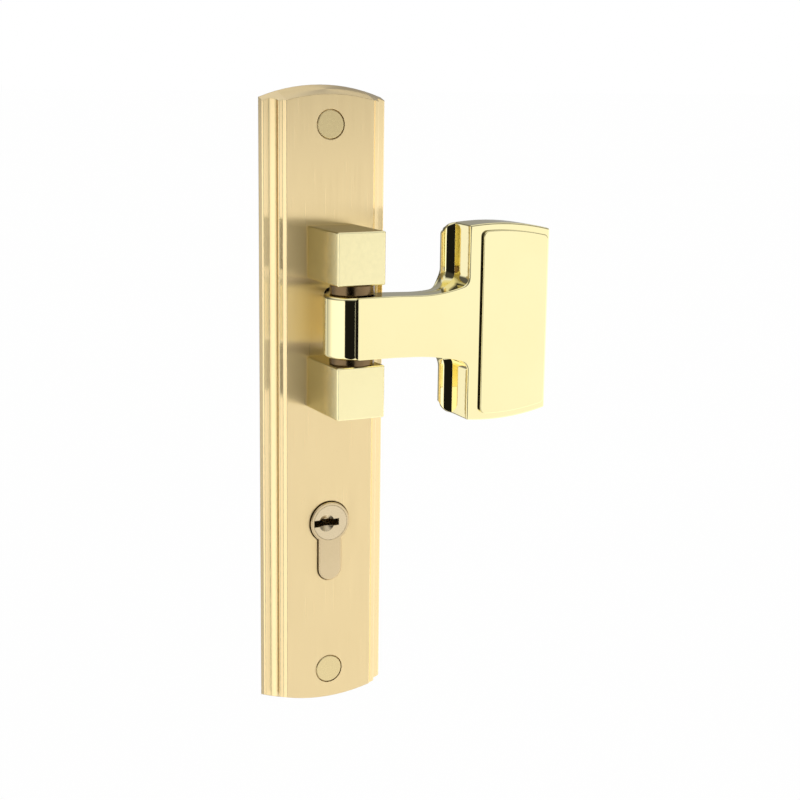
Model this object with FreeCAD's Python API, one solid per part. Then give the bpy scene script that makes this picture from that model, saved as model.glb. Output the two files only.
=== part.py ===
import FreeCAD, Part
import math
import os

# Handle plate of a mortise lock, with a T shaped grip that swings on an upright pin
# and a half profile cylinder below it.
# Millimetres. The origin lies on the door surface, at the height of the handle axis
# and on the plate's centre line. +Z is up, -Y points out of the door, +X towards the grip.

os.makedirs("parts", exist_ok=True)

# Clearances
seat_clearance = 0.02
running_clearance = 0.03
side_play = 0.1
bore_play = 0.4
loose_clearance = 0.35
cut_past = 1.0

# Backplate
plate_half_width = 26.2
plate_thickness = 10.0
plate_above_axis = 90.0
plate_below_axis = 164.0
plate_arch_radius = 73.0
plate_end_draft = 3.4
flange_height = 4.0
flange_width = 2.8
flange_edge = 0.5
cove_width = 2.0
cove_depth = 0.65
bead_width = 1.7
bead_edge = 0.3
face_step_width = 1.2
face_step_height = 1.2
face_wall = 2.8
pocket_side_wall = 1.8
pocket_end_wall = 9.0
pocket_corner = 3.0
rib_thickness = 2.0
rib_above_axis = 47.0
rib_above_cylinder = 20.0
rib_below_cylinder = 34.0
cylinder_surround = 2.4

# Pivot blocks and pin
block_width = 20.0
block_height = 20.5
block_depth = 29.5
block_gap = 31.2
block_edge = 0.4
pin_radius = 3.0
pin_edge = 0.5
pin_behind_block_front = 8.8
pin_cap_wall = 5.0
pin_screw_radius = 3.5
pin_screw_length = 5.0
pin_screw_recess = 1.0
pin_screw_edge = 0.4
pin_screw_socket = 3.5
pin_screw_socket_depth = 2.5
spacer_radius = 8.7
spacer_edge = 0.3

# T handle
handle_drop = 0.6
hub_radius = 11.3
hub_height = 24.0
hub_edge = 1.0
bush_radius = 4.6
bush_length = 7.0
arm_thickness = 12.5
arm_root_round = 2.0
arm_level_length = 22.6
arm_front_rise = 2.7
arm_front_corner = 3.0
arm_rear_rise = 1.1
arm_rear_corner = 5.1
arm_rear_sweep = 8.0
grip_offset = 63.2
grip_width = 36.0
grip_half_height = 39.3
grip_drop = 0.6
grip_arch_radius = 97.0
grip_arch_lead = 6.0
grip_side_taper = 0.7
grip_flat_side = 13.5
grip_crease_radius = 0.3
grip_lip = 3.75
grip_lip_angle = 30.0
grip_lip_radius = 2.5
grip_back_depth = 5.0
grip_back_radius = 3.0
grip_back_crown = 2.0
grip_crown_radius = 60.0
grip_top_round = 10.0
grip_rim = 0.6
panel_width = 29.0
panel_shift = 1.2
panel_margin = 2.8
panel_rise = 2.8
panel_arch_radius = 94.0
panel_edge = 0.5
panel_corner = 2.2

# Spindle drive
handle_swing = 15.0
finger_height = 8.8
finger_radius = 1.9
finger_ball_radius = 2.2
finger_collar_radius = 2.4
finger_collar_height = 2.0
finger_shank_radius = 1.9
finger_shank_length = 5.0
finger_flat = 0.6
fork_clearance = 0.4
fork_arm = 3.6
fork_tip_radius = 1.5
fork_top = 14.4
crank_thickness = 2.8
crank_boss_radius = 6.8
crank_boss_recess = 0.2
crank_tail_length = 13.4
crank_tail_width = 5.0
wear_washer_thickness = 0.5
wear_washer_radius = 8.0
wear_washer_bore = 3.0
spindle_square = 8.0
spindle_reach = 42.0
spindle_edge = 0.8
cover_thickness = 1.6
cover_half_height = 31.0
cover_gap = 0.3
cover_corner = 2.0
cover_bush_wall = 1.6
cover_bush_length = 2.4
cover_screw_radius = 1.5
cover_screw_head = 1.2
cover_screw_inset = 4.1
cover_screw_height = 26.0
cover_screw_slot = 0.7
cover_screw_slot_depth = 0.6
cover_boss_radius = 3.2
cover_screw_length = 5.0

# Leaf spring that brings the crank back
leaf_thickness = 0.5
leaf_width = 3.2
leaf_root_inset = 6.7
leaf_root_low = 27.0
leaf_root_high = 22.0
leaf_bend_radius = 4.0
leaf_tip_height = 10.5
leaf_tip_radius = 0.7
leaf_boss_wall = 1.5

# Screws and posts
block_screw_radius = 2.0
block_screw_play = 0.2
block_screw_head_radius = 3.6
block_screw_head_height = 2.6
block_screw_socket = 3.0
block_screw_socket_depth = 1.5
block_screw_bite = 9.0
block_screw_spacing = 11.0
post_above_axis = 75.0
post_below_axis = 148.5
post_head_radius = 5.6
post_head_height = 1.6
post_head_proud = 0.1
post_head_edge = 0.25
post_radius = 4.0
post_reach = 18.0
post_thread_radius = 2.1
post_thread_depth = 22.0
post_boss_wall = 2.6
post_gap = 0.3

# Half profile cylinder
cylinder_below_axis = 85.0
cylinder_head_radius = 8.5
cylinder_height = 33.0
cylinder_stem_width = 10.0
cylinder_proud = 1.2
cylinder_edge = 0.3
cylinder_front_length = 30.0
cylinder_back_length = 10.0
cylinder_web = 2.5
cam_width = 10.0
cam_slot_clearance = 0.2
cam_reach = 15.2
cam_ring_radius = 7.6
cam_nose_width = 7.0
cam_nose_angle = 30.0
cam_pin_radius = 1.0
plug_radius = 6.5
plug_face_radius = 7.2
plug_face_height = 1.4
plug_face_clearance = 0.06
plug_tail_radius = 4.0
plug_tail_recess = 1.0
keyway_width = 11.0
keyway_height = 2.8
keyway_depth = 22.0
countersink_radius = 3.5
countersink_foot = 1.6
countersink_depth = 1.3
pin_bore_radius = 1.5
pin_bore_top = 8.0
stack_count = 5
stack_pitch = 4.0
stack_first = 5.6
shear_clearance = 0.05
key_pin_length = 3.0
key_pin_tip_radius = 0.5
key_pin_tip_length = 1.2
driver_pin_length = 5.0
stem_floor = 1.6
fixing_screw_radius = 2.1
fixing_screw_above_foot = 4.4

# Places worked out from the sizes
face_y = -plate_thickness
pocket_y = face_y + face_wall
face_half_width = plate_half_width - flange_width - cove_width - bead_width - face_step_width
pocket_half_width = face_half_width - pocket_side_wall
cover_screw_side = pocket_half_width - cover_screw_inset
leaf_root_side = pocket_half_width - leaf_root_inset
block_front_y = face_y - block_depth
block_inner_z = block_gap / 2
block_outer_z = block_inner_z + block_height
pin_y = block_front_y + pin_behind_block_front
hub_half = hub_height / 2
hub_top = hub_half - handle_drop
hub_bottom = -hub_half - handle_drop
hub_back_y = pin_y + hub_radius
arm_front_y = pin_y - hub_radius
arm_rear_y = arm_front_y + arm_thickness
grip_left = grip_offset - grip_width / 2
grip_bend_y = arm_front_y + grip_flat_side
finger_flat_y = hub_back_y - finger_flat
cylinder_z = -cylinder_below_axis
stem_half = cylinder_stem_width / 2
stem_bottom = cylinder_z + cylinder_head_radius - cylinder_height
cylinder_front_y = face_y - cylinder_proud
cam_middle_y = cylinder_front_y + cylinder_front_length
cylinder_back_y = cam_middle_y + cylinder_back_length
cam_slot_half = cam_width / 2 + cam_slot_clearance
shear_z = cylinder_z - math.sqrt(plug_radius ** 2 - pin_bore_radius ** 2) + shear_clearance
crank_front_y = pocket_y + wear_washer_thickness + side_play
crank_back_y = crank_front_y + crank_thickness
crank_middle_y = crank_front_y + crank_thickness / 2
lip_corner_y = grip_bend_y + grip_lip * math.tan(math.radians(grip_lip_angle))
grip_back_y = lip_corner_y + grip_back_depth


def vec(x, y, z):
    return FreeCAD.Vector(x, y, z)


def box(x0, x1, y0, y1, z0, z1):
    return Part.makeBox(x1 - x0, y1 - y0, z1 - z0, vec(x0, y0, z0))


def rod_y(x, z, radius, y0, y1):
    return Part.makeCylinder(radius, y1 - y0, vec(x, y0, z), vec(0, 1, 0))


def rod_z(x, y, radius, z0, z1):
    return Part.makeCylinder(radius, z1 - z0, vec(x, y, z0), vec(0, 0, 1))


def cone_y(x, z, radius0, radius1, y0, y1):
    return Part.makeCone(radius0, radius1, y1 - y0, vec(x, y0, z), vec(0, 1, 0))


def line(a, b):
    return Part.LineSegment(a, b).toShape()


def arc(a, b, c):
    return Part.Arc(a, b, c).toShape()


def prism(edges, direction):
    return Part.Face(Part.Wire(edges)).extrude(direction)


def straight_prism(points, direction):
    return Part.Face(Part.makePolygon(points + [points[0]])).extrude(direction)


def rounded_wire(corners, place):
    # Closed outline through corners of two coordinates and a radius, zero for a sharp one.
    spots = []
    for index, (a, b, radius) in enumerate(corners):
        here = place(a, b)
        if radius == 0:
            spots.append((here, here, here))
            continue
        last = corners[index - 1]
        following = corners[(index + 1) % len(corners)]
        back = (place(last[0], last[1]) - here).normalize()
        ahead = (place(following[0], following[1]) - here).normalize()
        half = back.getAngle(ahead) / 2
        reach = radius / math.tan(half)
        bisector = (back + ahead).normalize()
        crest = here + bisector * (radius / math.sin(half) - radius)
        spots.append((here + back * reach, crest, here + ahead * reach))
    edges = []
    for index, (start, crest, end) in enumerate(spots):
        if start != end:
            edges.append(arc(start, crest, end))
        edges.append(line(end, spots[(index + 1) % len(spots)][0]))
    return Part.Wire(edges)


def edges_where(shape, test):
    return [edge for edge in shape.Edges if test(edge)]


def round_edges(shape):
    return edges_where(shape, lambda edge: isinstance(edge.Curve, Part.Circle))


def runs_along(edge, direction):
    if not isinstance(edge.Curve, Part.Line):
        return False
    return abs(abs(edge.Curve.Direction.dot(direction)) - 1) < 0.001


def sagitta(radius, half_chord):
    return radius - math.sqrt(radius ** 2 - half_chord ** 2)


def hex_socket(y, z0, z1, across):
    radius = across / math.sqrt(3)
    points = []
    for corner in range(6):
        angle = math.radians(60 * corner)
        points.append(vec(radius * math.cos(angle), y + radius * math.sin(angle), z0))
    return straight_prism(points, vec(0, 0, z1 - z0))


def save(name, shape):
    clean = shape.removeSplitter()
    clean.exportStep("parts/" + name + ".step")


# Backplate

def cove(a, b):
    # Hollow arc between two points of the moulding, bowed towards the plate's middle.
    chord = b - a
    middle = (a + b) * 0.5
    inward = vec(chord.y, -chord.x, 0).normalize()
    return arc(a, middle + inward * cove_depth, b)


def plate_section():
    # Half of the moulded cross section, from the door surface round to the face.
    flange_x = plate_half_width - flange_width
    bead_x = flange_x - cove_width
    step_x = bead_x - bead_width
    bead_y = face_y + face_step_height
    flange_y = -flange_height
    points = [
        vec(0, 0, 0),
        vec(plate_half_width, 0, 0),
        vec(plate_half_width, flange_y + flange_edge, 0),
        vec(plate_half_width - flange_edge, flange_y, 0),
        vec(flange_x, flange_y, 0),
        vec(bead_x, bead_y + bead_edge, 0),
        vec(bead_x - bead_edge, bead_y, 0),
        vec(step_x, bead_y, 0),
        vec(face_half_width, face_y, 0),
        vec(0, face_y, 0),
    ]
    cove_start = 4
    edges = []
    for index, start in enumerate(points):
        end = points[(index + 1) % len(points)]
        edges.append(cove(start, end) if index == cove_start else line(start, end))
    return edges


def plate_end_cutter(apex_z, sign):
    # Everything beyond the arched end, sheared so that the end wall leans back.
    side = plate_half_width + cut_past
    slope = plate_end_draft / plate_thickness
    start = cut_past
    start_z = apex_z + sign * slope * start
    edge_z = start_z - sign * sagitta(plate_arch_radius, side)
    far = start_z + sign * plate_end_draft * 2
    edges = [
        arc(vec(-side, start, edge_z), vec(0, start, start_z), vec(side, start, edge_z)),
        line(vec(side, start, edge_z), vec(side, start, far)),
        line(vec(side, start, far), vec(-side, start, far)),
        line(vec(-side, start, far), vec(-side, start, edge_z)),
    ]
    depth = plate_thickness + 2 * cut_past
    return prism(edges, vec(0, -depth, -sign * slope * depth))


def profile_outline(clearance, y0, y1):
    # Round head and straight stem of a profile cylinder.
    head = rod_y(0, cylinder_z, cylinder_head_radius + clearance, y0, y1)
    half = stem_half + clearance
    foot_z = stem_bottom + stem_half
    stem = box(-half, half, y0, y1, foot_z, cylinder_z)
    foot = rod_y(0, foot_z, half, y0, y1)
    return head.fuse([stem, foot]).removeSplitter()


def post_places():
    return [post_above_axis, -post_below_axis]


def cover_screw_places():
    # Two screws, at opposite corners of the cover.
    return [(-cover_screw_side, cover_screw_height), (cover_screw_side, -cover_screw_height)]


def make_pocket():
    # Hollow of the back, with its bosses and ribs left standing.
    side = pocket_half_width
    inset = pocket_end_wall + plate_end_draft
    top = plate_above_axis - inset
    bottom = inset - plate_below_axis
    pocket = box(-side, side, pocket_y, cut_past, bottom, top)
    corners = edges_where(pocket, lambda edge: runs_along(edge, vec(0, 1, 0)))
    pocket = pocket.makeFillet(pocket_corner, corners)
    ribs = [rib_above_axis, cylinder_z + rib_above_cylinder, cylinder_z - rib_below_cylinder]
    for z in ribs + post_places():
        half = rib_thickness / 2
        pocket = pocket.cut(box(-side, side, pocket_y, cut_past, z - half, z + half))
    for z in post_places():
        pocket = pocket.cut(rod_y(0, z, post_radius + post_boss_wall, pocket_y, cut_past))
    pocket = pocket.cut(profile_outline(loose_clearance + cylinder_surround, pocket_y, cut_past))
    for x, z in cover_screw_places():
        pocket = pocket.cut(rod_y(x, z, cover_boss_radius, pocket_y, -cover_thickness))
    return pocket.cut(make_leaf_boss())


def make_leaf_boss():
    # Slotted boss that holds the root of the leaf spring.
    half = leaf_thickness / 2 + seat_clearance
    right = half + leaf_boss_wall - leaf_root_side
    low = -leaf_root_low - leaf_boss_wall
    top_y = -cover_thickness - seat_clearance
    boss = box(-pocket_half_width, right, pocket_y, top_y, low, -leaf_root_high)
    slot = box(-leaf_root_side - half, -leaf_root_side + half, pocket_y, cut_past,
               -leaf_root_low - seat_clearance, 0)
    return boss.cut(slot)


def make_backplate():
    length = plate_above_axis + plate_below_axis
    half = prism(plate_section(), vec(0, 0, length))
    half.translate(vec(0, 0, -plate_below_axis))
    plate = half.fuse(half.mirror(vec(0, 0, 0), vec(1, 0, 0)))
    plate = plate.cut(plate_end_cutter(plate_above_axis, 1))
    plate = plate.cut(plate_end_cutter(-plate_below_axis, -1))
    plate = plate.cut(make_pocket())

    # Posts sit flush in the face, and the cylinder passes through it.
    front = face_y - cut_past
    for z in post_places():
        plate = plate.cut(rod_y(0, z, post_radius + seat_clearance, front, cut_past))
        seat_y = face_y + post_head_height
        plate = plate.cut(rod_y(0, z, post_head_radius + post_gap, front, seat_y))
    plate = plate.cut(profile_outline(loose_clearance, front, cut_past))

    # Screws for the blocks and the cover.
    for z in block_screw_places():
        plate = plate.cut(rod_y(0, z, block_screw_radius + block_screw_play, front, 0))
    for x, z in cover_screw_places():
        deep = -cover_thickness - cover_screw_length
        plate = plate.cut(rod_y(x, z, cover_screw_radius + seat_clearance, deep, 0))

    # The drive finger passes through a window behind the hub.
    travel = (pocket_y - pin_y) * math.sin(math.radians(handle_swing))
    margin = finger_ball_radius + fork_clearance
    window = box(-margin, travel + margin + bore_play, front, pocket_y + cut_past / 2,
                 finger_height - margin, finger_height + margin)
    corners = edges_where(window, lambda edge: runs_along(edge, vec(0, 1, 0)))
    return plate.cut(window.makeFillet(margin * 0.95, corners))


# Blocks, pin and spacers

def block_screw_places():
    middle = (block_inner_z + block_outer_z) / 2
    half = block_screw_spacing / 2
    return [middle - half, middle + half, -middle - half, -middle + half]


def make_block(sign):
    low = min(sign * block_inner_z, sign * block_outer_z)
    high = max(sign * block_inner_z, sign * block_outer_z)
    half = block_width / 2
    block = box(-half, half, block_front_y, face_y, low, high)
    block = block.makeChamfer(block_edge, block.Edges)
    for z in block_screw_places():
        if low < z < high:
            deep = face_y - block_screw_bite - side_play
            block = block.cut(rod_y(0, z, block_screw_radius + seat_clearance, deep, face_y))
    bore = pin_radius + seat_clearance
    if sign > 0:
        return block.cut(rod_z(0, pin_y, bore, low, high - pin_cap_wall))
    block = block.cut(rod_z(0, pin_y, bore, low, high))
    socket = pin_screw_radius + seat_clearance
    return block.cut(rod_z(0, pin_y, socket, low, low + pin_screw_recess + pin_screw_length))


def make_pin():
    low = -block_outer_z + pin_screw_recess + pin_screw_length
    high = block_outer_z - pin_cap_wall
    pin = rod_z(0, pin_y, pin_radius, low, high)
    return pin.makeChamfer(pin_edge, round_edges(pin))


def make_pin_screw():
    low = -block_outer_z + pin_screw_recess
    screw = rod_z(0, pin_y, pin_screw_radius, low, low + pin_screw_length)
    screw = screw.makeChamfer(pin_screw_edge, round_edges(screw))
    return screw.cut(hex_socket(pin_y, low - cut_past, low + pin_screw_socket_depth, pin_screw_socket))


def make_spacer(sign):
    low = hub_top + side_play if sign > 0 else -block_inner_z
    high = block_inner_z if sign > 0 else hub_bottom - side_play
    ring = rod_z(0, pin_y, spacer_radius, low, high)
    ring = ring.makeChamfer(spacer_edge, round_edges(ring))
    return ring.cut(rod_z(0, pin_y, pin_radius + running_clearance, low - cut_past, high + cut_past))


def make_bush(sign):
    low = hub_top - bush_length if sign > 0 else hub_bottom
    high = low + bush_length
    bush = rod_z(0, pin_y, bush_radius, low, high)
    return bush.cut(rod_z(0, pin_y, pin_radius + running_clearance, low - cut_past, high + cut_past))


# T handle

def grip_plan():
    # Looking down on the grip: flat sides, a lip that flares out, and a crowned back.
    side = grip_width / 2
    wide = side + grip_lip
    half = [
        (side, arm_front_y, 0),
        (side - grip_side_taper, grip_bend_y, grip_crease_radius),
        (wide, lip_corner_y, grip_lip_radius),
        (wide, grip_back_y, grip_back_radius),
    ]
    crown = [(0, grip_back_y + grip_back_crown, grip_crown_radius)]
    other = [(-u, y, radius) for u, y, radius in reversed(half)]
    wire = rounded_wire(half + crown + other, lambda u, y: vec(grip_offset + u, y, -grip_half_height))
    return Part.Face(wire).extrude(vec(0, 0, 2 * grip_half_height))


def arched_slab(left, right, apex, radius, y0, y1):
    # A slab seen from the front: straight sides and arched ends, their crests towards the arm.
    crest = grip_offset - grip_arch_lead
    left_z = apex - sagitta(radius, crest - left)
    right_z = apex - sagitta(radius, right - crest)
    edges = [
        arc(vec(left, y0, left_z), vec(crest, y0, apex), vec(right, y0, right_z)),
        line(vec(right, y0, right_z), vec(right, y0, -right_z)),
        arc(vec(right, y0, -right_z), vec(crest, y0, -apex), vec(left, y0, -left_z)),
        line(vec(left, y0, -left_z), vec(left, y0, left_z)),
    ]
    return prism(edges, vec(0, y1 - y0, 0))


def grip_side_profile():
    # Seen from the side: level at the front, rounded down towards the back.
    apex = grip_half_height
    front = arm_front_y - cut_past
    back = grip_bend_y + grip_top_round
    corners = [(front, apex, 0), (back, apex, grip_top_round), (back, -apex, grip_top_round),
               (front, -apex, 0)]
    wire = rounded_wire(corners, lambda y, z: vec(0, y, z))
    return Part.Face(wire).extrude(vec(grip_offset + grip_width, 0, 0))


def make_grip():
    reach = grip_width / 2 + grip_lip + cut_past
    front_view = arched_slab(grip_offset - reach, grip_offset + reach, grip_half_height, grip_arch_radius,
                             arm_front_y - cut_past, 0)
    grip = grip_plan().common(front_view).common(grip_side_profile())
    rim = edges_where(grip, lambda edge: abs(edge.BoundBox.YMax - arm_front_y) < 0.01)
    grip = grip.makeFillet(grip_rim, rim)
    middle = grip_offset + panel_shift
    half = panel_width / 2
    panel = arched_slab(middle - half, middle + half, grip_half_height - panel_margin, panel_arch_radius,
                        arm_front_y - panel_rise, arm_front_y + cut_past)
    upright = edges_where(panel, lambda edge: runs_along(edge, vec(0, 1, 0)))
    panel = panel.makeFillet(panel_corner, upright)
    front_rim = edges_where(panel, lambda edge: edge.BoundBox.YMax < arm_front_y - panel_rise + 0.01)
    return grip.fuse(panel.makeFillet(panel_edge, front_rim))


def arm_outline(y, start_x, side_x, rise, corner):
    # Front view of the arm at one depth: level, then swept up and down into the grip's side.
    bend_x = side_x - corner
    run = bend_x - arm_level_length
    turn = 2 * math.atan(rise / run)
    sweep_radius = run / math.sin(turn)
    corner_radius = corner / (1 - math.sin(turn))
    level = hub_half
    bend_z = level + rise
    side_z = bend_z + corner_radius * math.cos(turn)
    half = turn / 2
    middle = (arm_level_length + sweep_radius * math.sin(half), level + sweep_radius * (1 - math.cos(half)))
    lean = (turn + math.pi / 2) / 2
    corner_middle = (side_x - corner_radius * (1 - math.sin(lean)), side_z - corner_radius * math.cos(lean))
    end_x = grip_left + grip_lip
    high_z = grip_half_height / 2 + level
    upper = [(start_x, level), (arm_level_length, level), middle, (bend_x, bend_z), corner_middle,
             (side_x, side_z), (side_x, high_z), (end_x, high_z)]
    up = [vec(x, y, z) for x, z in upper]
    down = [vec(x, y, -z) for x, z in upper]
    return Part.Wire([
        line(up[0], up[1]),
        arc(up[1], up[2], up[3]),
        arc(up[3], up[4], up[5]),
        line(up[5], up[6]),
        line(up[6], up[7]),
        line(up[7], down[7]),
        line(down[7], down[6]),
        line(down[6], down[5]),
        arc(down[5], down[4], down[3]),
        arc(down[3], down[2], down[1]),
        line(down[1], down[0]),
        line(down[0], up[0]),
    ])


def arm_plan():
    # Looking down: the arm runs off the front of the hub and widens into the back of the grip.
    lip_x = grip_left - grip_lip
    end_x = grip_left + grip_lip
    corners = [
        (0, arm_front_y, 0), (end_x, arm_front_y, 0), (end_x, lip_corner_y + grip_lip_radius, 0),
        (lip_x, lip_corner_y + grip_lip_radius, 0), (lip_x - arm_rear_sweep / 2, arm_rear_y, arm_rear_sweep),
        (0, arm_rear_y, 0),
    ]
    wire = rounded_wire(corners, lambda x, y: vec(x, y, -grip_half_height))
    return Part.Face(wire).extrude(vec(0, 0, 2 * grip_half_height))


def make_arm():
    start_x = arm_level_length / 2
    bend_x = grip_left + grip_side_taper
    bend_front = arm_outline(arm_front_y, start_x, grip_left, arm_front_rise, arm_front_corner)
    bend = arm_outline(grip_bend_y, start_x, bend_x, arm_front_rise, arm_front_corner)
    root = box(0, start_x, arm_front_y, arm_rear_y, -hub_half, hub_half)
    ends = edges_where(root, lambda edge: runs_along(edge, vec(0, 1, 0)) and edge.BoundBox.XMax < side_play)
    root = root.makeFillet(arm_root_round, ends)
    slab = Part.makeLoft([bend_front, bend], True, True)
    lip = arm_outline(lip_corner_y, start_x, grip_left - grip_lip, arm_rear_rise, arm_rear_corner)
    flare = Part.makeLoft([bend, lip], True, True)
    rear = Part.Face(lip).extrude(vec(0, grip_lip_radius, 0))
    return slab.fuse([root, flare, rear]).common(arm_plan())


def make_tee_handle():
    grip = make_grip()
    grip.translate(vec(0, 0, -grip_drop))
    blade = make_arm().fuse(grip)
    blade.translate(vec(0, 0, -handle_drop))
    hub = rod_z(0, pin_y, hub_radius, hub_bottom, hub_top)
    hub = hub.makeChamfer(hub_edge, round_edges(hub))
    handle = hub.fuse(blade).removeSplitter()
    past = cut_past
    handle = handle.cut(rod_z(0, pin_y, pin_radius + bore_play, hub_bottom - past, hub_top + past))
    handle = handle.cut(rod_z(0, pin_y, bush_radius, hub_top - bush_length, hub_top + past))
    handle = handle.cut(rod_z(0, pin_y, bush_radius, hub_bottom - past, hub_bottom + bush_length))
    seat = finger_collar_radius + block_screw_play
    handle = handle.cut(rod_y(0, finger_height, seat, finger_flat_y, hub_back_y + cut_past))
    shank_end = finger_flat_y - finger_shank_length
    return handle.cut(rod_y(0, finger_height, finger_shank_radius, shank_end, hub_back_y))


def make_drive_finger():
    shank = rod_y(0, finger_height, finger_shank_radius, finger_flat_y - finger_shank_length, finger_flat_y)
    collar_end = finger_flat_y + finger_collar_height
    collar = rod_y(0, finger_height, finger_collar_radius, finger_flat_y, collar_end)
    neck = rod_y(0, finger_height, finger_radius, finger_flat_y, crank_middle_y)
    ball = Part.makeSphere(finger_ball_radius, vec(0, crank_middle_y, finger_height))
    return shank.fuse([collar, neck, ball])


# Spindle drive

def make_crank():
    body = rod_y(0, 0, crank_boss_radius, crank_front_y, -crank_boss_recess)
    slot_half = finger_ball_radius + fork_clearance
    outer = slot_half + fork_arm
    fork = box(-outer, outer, crank_front_y, crank_back_y, 0, fork_top)
    tips = edges_where(fork, lambda edge: runs_along(edge, vec(0, 1, 0)) and edge.BoundBox.ZMin > 1)
    fork = fork.makeFillet(fork_tip_radius, tips)
    tail_half = crank_tail_width / 2
    tail = box(-tail_half, tail_half, crank_front_y, crank_back_y, -crank_tail_length, 0)
    slot_foot = finger_height - slot_half + fork_clearance
    start = crank_front_y - cut_past
    end = crank_back_y + cut_past
    slot = box(-slot_half, slot_half, start, end, slot_foot, fork_top + cut_past)
    slot = slot.fuse(rod_y(0, slot_foot, slot_half, start, end))
    square = spindle_square / 2
    hole = box(-square, square, start, cut_past, -square, square)
    return body.fuse([fork, tail]).cut(slot).cut(hole)


def make_spindle():
    half = spindle_square / 2
    spindle = box(-half, half, crank_front_y, spindle_reach, -half, half)
    ends = edges_where(spindle, lambda edge: edge.BoundBox.YMin > spindle_reach - 0.1)
    return spindle.makeChamfer(spindle_edge, ends)


def make_wear_washer():
    washer = rod_y(0, 0, wear_washer_radius, pocket_y, pocket_y + wear_washer_thickness)
    gap = finger_ball_radius + fork_clearance + fork_clearance
    reach = wear_washer_radius + gap
    window = box(-gap, reach, pocket_y - cut_past, 0, finger_height - gap, finger_height + reach)
    return washer.cut(window).cut(rod_y(0, 0, wear_washer_bore, pocket_y - cut_past, 0))


def make_cover():
    side = pocket_half_width - cover_gap
    cover = box(-side, side, -cover_thickness, 0, -cover_half_height, cover_half_height)
    cover = cover.makeFillet(cover_corner, edges_where(cover, lambda edge: runs_along(edge, vec(0, 1, 0))))
    bush_outer = crank_boss_radius + running_clearance + cover_bush_wall
    start = -cover_thickness - cut_past
    cover = cover.cut(rod_y(0, 0, bush_outer, start, cut_past))
    for x, z in cover_screw_places():
        cover = cover.cut(rod_y(x, z, cover_screw_radius + side_play, start, cut_past))
        wide = cover_screw_radius + cover_screw_head + side_play
        sink = cone_y(x, z, cover_screw_radius + side_play, wide, -cover_screw_head - side_play, 0)
        cover = cover.cut(sink)
    return cover


def make_cover_bush():
    inner = crank_boss_radius + running_clearance
    ring = rod_y(0, 0, inner + cover_bush_wall, -cover_bush_length, 0)
    return ring.cut(rod_y(0, 0, inner, -cover_bush_length - cut_past, cut_past))


def make_cover_screws():
    screws = []
    for x, z in cover_screw_places():
        end = -cover_thickness - cover_screw_length + side_play
        head_y = -side_play
        shank = rod_y(x, z, cover_screw_radius, end, head_y - cover_screw_slot_depth)
        wide = cover_screw_radius + cover_screw_head
        head = cone_y(x, z, cover_screw_radius, wide, head_y - cover_screw_head, head_y)
        half = cover_screw_slot / 2
        slot = box(x - half, x + half, head_y - cover_screw_slot_depth, 0, z - 2 * wide, z + 2 * wide)
        screws.append(shank.fuse(head).cut(slot))
    return Part.makeCompound(screws)


def make_return_spring():
    # Leaf that stands in its boss, leans towards the crank's tail and touches it with a rolled tip.
    tip_x = -crank_tail_width / 2 - side_play - leaf_tip_radius
    tip = vec(tip_x, 0, -leaf_tip_height)
    foot = vec(-leaf_root_side, 0, -leaf_root_low)
    knee = vec(-leaf_root_side, 0, leaf_bend_radius / 2 - leaf_root_high)
    ahead = (tip - knee).normalize()
    turn = vec(0, 0, 1).getAngle(ahead)
    reach = leaf_bend_radius * math.tan(turn / 2)
    bend_start = knee - vec(0, 0, reach)
    bend_end = knee + ahead * reach
    crest_out = leaf_bend_radius / math.cos(turn / 2) - leaf_bend_radius
    inward = (ahead - vec(0, 0, 1)).normalize()
    path = Part.Wire([
        line(foot, bend_start),
        arc(bend_start, knee + inward * crest_out, bend_end),
        line(bend_end, tip),
    ])
    half = leaf_thickness / 2
    low = crank_middle_y - leaf_width / 2
    high = crank_middle_y + leaf_width / 2
    left = foot.x - half
    right = foot.x + half
    section = Part.makePolygon([
        vec(left, low, foot.z), vec(right, low, foot.z), vec(right, high, foot.z), vec(left, high, foot.z),
        vec(left, low, foot.z),
    ])
    leaf = path.makePipeShell([section], True, False)
    return leaf.fuse(rod_y(tip.x, tip.z, leaf_tip_radius, low, high))


# Fasteners

def make_block_screws():
    screws = []
    top_y = pocket_y + block_screw_head_height
    for z in block_screw_places():
        shank = rod_y(0, z, block_screw_radius, face_y - block_screw_bite, pocket_y)
        head = rod_y(0, z, block_screw_head_radius, pocket_y, top_y)
        socket = hex_socket(0, -cut_past, block_screw_socket_depth, block_screw_socket)
        socket.rotate(vec(0, 0, 0), vec(1, 0, 0), 90)
        socket.translate(vec(0, top_y, z))
        screws.append(shank.fuse(head).cut(socket))
    return Part.makeCompound(screws)


def make_fixing_posts():
    posts = []
    for z in post_places():
        front_y = face_y - post_head_proud
        head = rod_y(0, z, post_head_radius, front_y, face_y + post_head_height)
        rim = edges_where(head, lambda edge: edge.BoundBox.YMax < front_y + 0.01)
        head = head.makeChamfer(post_head_edge, rim)
        post = head.fuse(rod_y(0, z, post_radius, face_y, post_reach))
        thread_start = post_reach - post_thread_depth
        posts.append(post.cut(rod_y(0, z, post_thread_radius, thread_start, post_reach + cut_past)))
    return Part.makeCompound(posts)


# Half profile cylinder

def stack_places():
    return [cylinder_front_y + stack_first + index * stack_pitch for index in range(stack_count)]


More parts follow.
